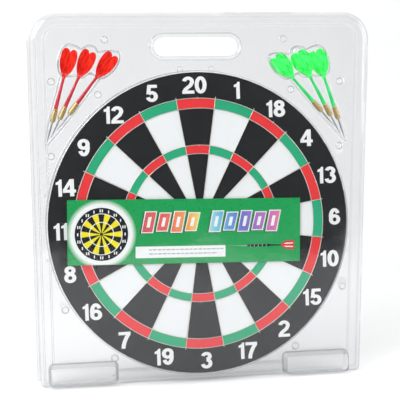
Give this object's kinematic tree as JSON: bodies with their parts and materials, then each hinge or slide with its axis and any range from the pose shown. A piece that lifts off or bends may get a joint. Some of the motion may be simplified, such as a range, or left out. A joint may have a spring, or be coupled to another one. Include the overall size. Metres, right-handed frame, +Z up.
{
  "type": "boxed dartboard set",
  "caption": "Wired dartboard with printed number face and steel-tip darts in a clear hinged clamshell pack with handle slot and snap studs.",
  "frame": {"origin": "centre of the pack's bounding box in plan, on the plane the feet stand on", "axes": "+X across the pack from the fold to the opening edge, +Y from the front of the pack to its back, +Z up"},
  "size_m": [0.4352, 0.0298, 0.467],
  "materials": {
    "clear_pvc": "clear thermoformed sheet, glossy",
    "fibre": "pressed fibre",
    "printed_face": "flocked print, matte",
    "backing": "matte",
    "band": "matte tape",
    "wire": "galvanised wire",
    "hanger_steel": "zinc plated",
    "needle_steel": "polished",
    "brass": "knurled, satin",
    "red_stem": "glossy",
    "red_flight": "glossy",
    "green_stem": "glossy",
    "green_flight": "glossy",
    "card": "coated print"
  },
  "bodies": {
    "pack_back": {"back_sheet": "backing", "back_shell": "clear_pvc", "barrel_green_1": "brass", "barrel_green_2": "brass", "barrel_green_3": "brass", "barrel_red_1": "brass", "barrel_red_2": "brass", "barrel_red_3": "brass", "board_core": "fibre", "bull_ring_inner": "wire", "bull_ring_outer": "wire", "double_ring_inner": "wire", "double_ring_outer": "wire", "edge_band": "band", "face_sheet": "printed_face", "flight_green_1": "green_flight", "flight_green_2": "green_flight", "flight_green_3": "green_flight", "flight_red_1": "red_flight", "flight_red_2": "red_flight", "flight_red_3": "red_flight", "hanger_pin_left": "hanger_steel", "hanger_pin_right": "hanger_steel", "hanger_plate": "hanger_steel", "hinge_strip": "clear_pvc", "needle_green_1": "needle_steel", "needle_green_2": "needle_steel", "needle_green_3": "needle_steel", "needle_red_1": "needle_steel", "needle_red_2": "needle_steel", "needle_red_3": "needle_steel", "spoke_pair_01": "wire", "spoke_pair_02": "wire", "spoke_pair_03": "wire", "spoke_pair_04": "wire", "spoke_pair_05": "wire", "spoke_pair_06": "wire", "spoke_pair_07": "wire", "spoke_pair_08": "wire", "spoke_pair_09": "wire", "spoke_pair_10": "wire", "stem_green_1": "green_stem", "stem_green_2": "green_stem", "stem_green_3": "green_stem", "stem_red_1": "red_stem", "stem_red_2": "red_stem", "stem_red_3": "red_stem", "treble_ring_inner": "wire", "treble_ring_outer": "wire"},
    "cover": {"front_shell": "clear_pvc", "label_card": "card"}
  },
  "joints": [
    {"name": "cover_fold", "type": "hinge", "parent": "pack_back", "child": "cover", "pos_m": [-0.2155, 0.00495, 0.2235], "axis": [0, 0, -1], "range_deg": [0, 180], "deforming": ["hinge_strip"]}
  ]
}
